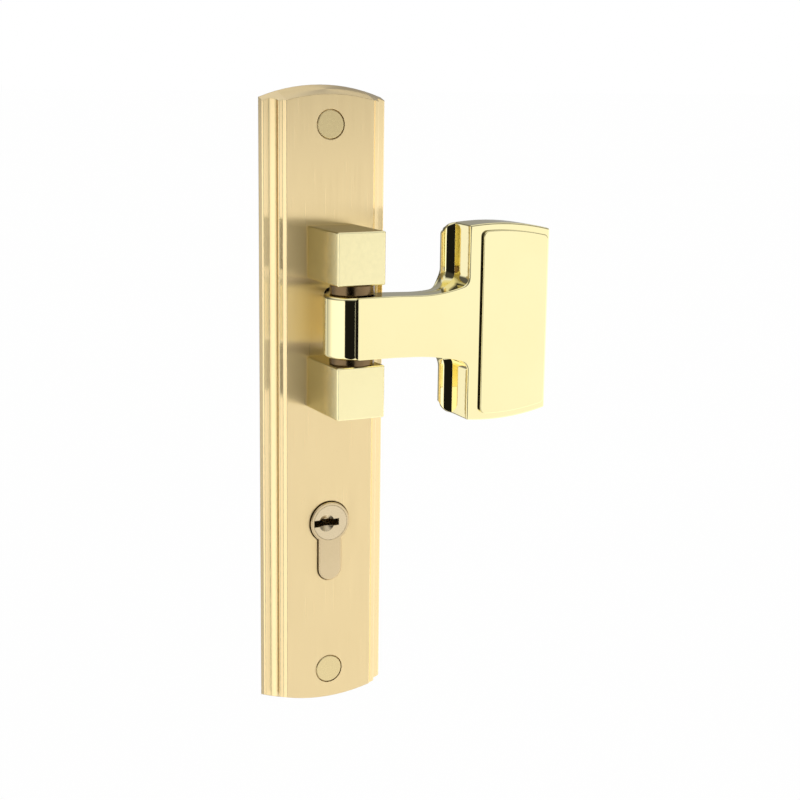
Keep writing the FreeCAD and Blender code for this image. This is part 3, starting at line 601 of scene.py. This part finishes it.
def panel_outline(inset):
    # Front view of the raised panel: straight sides, arched ends and rounded corners.
    left = PANEL_LEFT + inset
    right = PANEL_RIGHT - inset
    corner = PANEL_CORNER - inset
    half = GRIP_HALF_HEIGHT - PANEL_MARGIN - inset

    def arch(x):
        return half - PANEL_ARCH + math.sqrt(PANEL_ARCH ** 2 - (x - ARCH_CREST) ** 2)

    def rounded(middle, start, end):
        points = []
        for step in range(PANEL_CORNER_STEPS + 1):
            angle = math.radians(blend(start, end, step / PANEL_CORNER_STEPS))
            drop = corner * (1.0 - math.cos(angle))
            points.append((middle + corner * math.sin(angle), arch(middle) - drop))
        return points

    between = [blend(right - corner, left + corner, step / END_STEPS) for step in range(1, END_STEPS)]
    upper = rounded(right - corner, 90.0, 0.0)
    upper += [(x, arch(x)) for x in between]
    upper += rounded(left + corner, 0.0, -90.0)
    return upper + [(x, -z) for x, z in reversed(upper)]


def panel_faces():
    # Raised panel, sunk a little into the grip behind it.
    front = ARM_FRONT_Y - PANEL_RISE
    levels = [(0.0, ARM_FRONT_Y + RIM)]
    for angle in PANEL_ROUND_ANGLES:
        turn = math.radians(angle)
        levels.append((PANEL_ROUND * (1.0 - math.cos(turn)), front + PANEL_ROUND * (1.0 - math.sin(turn))))
    drop = HANDLE_DROP + GRIP_DROP
    rings = [[(x, y, z - drop) for x, z in panel_outline(inset)] for inset, y in levels]
    return [rings[-1], rings[0]] + grid_faces([ring + ring[:1] for ring in rings])


def solid_from_faces(mesh, faces):
    # One closed mesh. Its flat front keeps sharp borders, so that it reflects evenly.
    build = bmesh.new()
    for points in faces:
        build.faces.new([build.verts.new(Vector(point) * MM) for point in points])
    bmesh.ops.remove_doubles(build, verts=build.verts, dist=MERGE_DISTANCE)
    bmesh.ops.dissolve_degenerate(build, edges=build.edges, dist=SPLINTER_LENGTH)
    bmesh.ops.recalc_face_normals(build, faces=build.faces)
    bmesh.ops.triangulate(build, faces=[face for face in build.faces if len(face.verts) > 4])
    build.normal_update()
    for edge in build.edges:
        in_front = sum(face.normal.y < FRONT_FACING for face in edge.link_faces)
        edge.smooth = in_front != 1 and edge.calc_face_angle(0.0) < math.radians(SHARP_ANGLE)
    build.to_mesh(mesh)
    build.free()


def make_handle(material):
    # The T handle drawn with finer rounds than its solid: hub, border with flared lips, and panel.
    pieces = {"handle_hub": hub_faces(), "handle_body": handle_faces(), "handle_panel": panel_faces()}
    for name, faces in pieces.items():
        mesh = bpy.data.meshes.new(name)
        solid_from_faces(mesh, faces)
        mesh.polygons.foreach_set("use_smooth", [True] * len(mesh.polygons))
        mesh.materials.append(material)
        piece = bpy.data.objects.new(name, mesh)
        bpy.context.scene.collection.objects.link(piece)
        weighted = piece.modifiers.new("weighted", "WEIGHTED_NORMAL")
        weighted.keep_sharp = True
        weighted.weight = NORMAL_WEIGHT
        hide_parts("tee_handle")
        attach(piece, "handle")


def give(material, *nodes):
    for name in nodes:
        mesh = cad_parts[name].data
        mesh.materials.clear()
        mesh.materials.append(material)


def make_materials():
    make_handle(metal("polished_brass", POLISHED_LIGHT, POLISHED_DARK, *POLISHED_ROUGHNESS,
                      edge=HANDLE_EDGE_RADIUS))
    give(plate_brass(), "backplate")
    give(white_nylon(), "wear_washer")
    for name, (light, dark, low_rough, high_rough, nodes) in METALS.items():
        give(metal(name, light, dark, low_rough, high_rough), *nodes)


def fill_ramp(ramp, stops):
    # Grey stops, in rising order; the ramp's own two elements become the first and the last.
    ramp.elements[0].position = stops[0][0]
    ramp.elements[-1].position = stops[-1][0]
    for place, level in stops[1:-1]:
        ramp.elements.new(place)
    for element, (place, level) in zip(ramp.elements, stops):
        element.position = place
        element.color = (*[level * warmth for warmth in GREY_WARMTH], 1.0)


def blend_colours(tree, part, first, second):
    # In colour mode the node takes its part at input 0, its colours at 6 and 7, and gives output 2.
    node = add(tree, "ShaderNodeMix", data_type="RGBA")
    tree.links.new(part, node.inputs[0])
    tree.links.new(first, node.inputs[6])
    tree.links.new(second, node.inputs[7])
    return node.outputs[2]


def studio_levels(tree):
    # Grey that a mirror sees in each direction: by azimuth below and above the horizon, and overhead.
    links = tree.links
    coords = add(tree, "ShaderNodeTexCoord")
    split = add(tree, "ShaderNodeSeparateXYZ")
    links.new(coords.outputs["Generated"], split.inputs["Vector"])
    outward = add(tree, "ShaderNodeMath", operation="MULTIPLY")
    outward.inputs[1].default_value = -1.0
    links.new(split.outputs["Y"], outward.inputs[0])
    turn = add(tree, "ShaderNodeMath", operation="ARCTAN2")
    links.new(split.outputs["X"], turn.inputs[0])
    links.new(outward.outputs[0], turn.inputs[1])
    unit = add(tree, "ShaderNodeMapRange")
    unit.inputs["From Min"].default_value = -math.pi
    unit.inputs["From Max"].default_value = math.pi
    links.new(turn.outputs[0], unit.inputs["Value"])
    colours = []
    for levels in (LEVELS_BELOW, LEVELS_ABOVE):
        ramp = add(tree, "ShaderNodeValToRGB")
        fill_ramp(ramp.color_ramp, [((azimuth + 180.0) / 360.0, level) for azimuth, level in levels])
        links.new(unit.outputs["Result"], ramp.inputs["Fac"])
        colours.append(ramp.outputs["Color"])
    horizon = spread(tree, split.outputs["Z"], 0.0, 1.0, *HORIZON_BLEND)
    overhead = spread(tree, split.outputs["Z"], 0.0, 1.0, *OVERHEAD_BLEND)
    around = blend_colours(tree, horizon, *colours)
    zenith = add(tree, "ShaderNodeRGB")
    zenith.outputs[0].default_value = (LEVEL_OVERHEAD, LEVEL_OVERHEAD, LEVEL_OVERHEAD, 1.0)
    return blend_colours(tree, overhead, around, zenith.outputs[0])


def background(tree, level):
    node = add(tree, "ShaderNodeBackground")
    node.inputs["Color"].default_value = (1.0, 1.0, 1.0, 1.0)
    node.inputs["Strength"].default_value = level
    return node


def choose(tree, part, first, second):
    # The first shader where the part is 0, the second where it is 1.
    node = add(tree, "ShaderNodeMixShader")
    tree.links.new(part, node.inputs["Fac"])
    tree.links.new(first, node.inputs[1])
    tree.links.new(second, node.inputs[2])
    return node.outputs[0]


def make_studio():
    # White to the camera, plain to what scatters, and the grey levels to what mirrors.
    world = bpy.data.worlds.new("studio")
    bpy.context.scene.world = world
    world.use_nodes = True
    tree = world.node_tree
    tree.nodes.clear()
    mirrored = background(tree, 1.0)
    tree.links.new(studio_levels(tree), mirrored.inputs["Color"])
    plain = background(tree, DIFFUSE_LEVEL)
    white = background(tree, 1.0)
    path = add(tree, "ShaderNodeLightPath")
    bounced = choose(tree, path.outputs["Is Glossy Ray"], plain.outputs[0], mirrored.outputs[0])
    seen = choose(tree, path.outputs["Is Camera Ray"], bounced, white.outputs[0])
    out = add(tree, "ShaderNodeOutputWorld")
    tree.links.new(seen, out.inputs["Surface"])


def make_floor():
    # White to the camera but for the part's shadow, and out of sight of what mirrors.
    low = cad_box[0][2] - FLOOR_DROP
    mesh = bpy.data.meshes.new("studio_floor")
    corners = [(x * FLOOR_REACH, y * FLOOR_REACH, low) for x, y in ((-1, -1), (1, -1), (1, 1), (-1, 1))]
    mesh.from_pydata(corners, [], [(0, 1, 2, 3)])
    floor = bpy.data.objects.new("studio_floor", mesh)
    bpy.context.scene.collection.objects.link(floor)
    material, tree, shader = new_material("pale_floor")
    drift = noise(tree, object_place(tree), FLOOR_SCALE)
    tree.links.new(two_tone(tree, drift, FLOOR_DARK, FLOOR_LIGHT), shader.inputs["Base Color"])
    shader.inputs["Roughness"].default_value = FLOOR_ROUGHNESS
    glow = add(tree, "ShaderNodeEmission")
    glow.inputs["Strength"].default_value = FLOOR_GLOW
    path = add(tree, "ShaderNodeLightPath")
    part = add(tree, "ShaderNodeMath", operation="MULTIPLY")
    part.inputs[1].default_value = FLOOR_GLOW_PART
    tree.links.new(path.outputs["Is Camera Ray"], part.inputs[0])
    surface = choose(tree, part.outputs[0], shader.outputs[0], glow.outputs[0])
    tree.links.new(surface, tree.nodes["Material Output"].inputs["Surface"])
    mesh.materials.append(material)
    floor.visible_glossy = False


def make_camera():
    yaw = math.radians(CAMERA_YAW)
    pitch = math.radians(CAMERA_PITCH)
    roll = math.radians(CAMERA_ROLL)
    forward = Vector((math.sin(yaw) * math.cos(pitch), math.cos(yaw) * math.cos(pitch), -math.sin(pitch)))
    level = Vector((math.cos(yaw), -math.sin(yaw), 0.0))
    upright = level.cross(forward)
    right = level * math.cos(roll) + upright * math.sin(roll)
    up = upright * math.cos(roll) - level * math.sin(roll)
    turn = Matrix((right, up, -forward)).transposed().to_4x4()
    data = bpy.data.cameras.new("photo_camera")
    data.sensor_width = SENSOR_MM
    data.lens = FOCAL_PIXELS / PICTURE_PIXELS * SENSOR_MM
    data.clip_start = CLIP_NEAR
    data.clip_end = CLIP_FAR
    camera = bpy.data.objects.new("photo_camera", data)
    bpy.context.scene.collection.objects.link(camera)
    camera.matrix_world = Matrix.Translation(CAMERA_PLACE) @ turn
    bpy.context.scene.camera = camera


make_camera()
make_studio()
make_floor()
make_materials()

bpy.context.scene.view_settings.view_transform = "Standard"
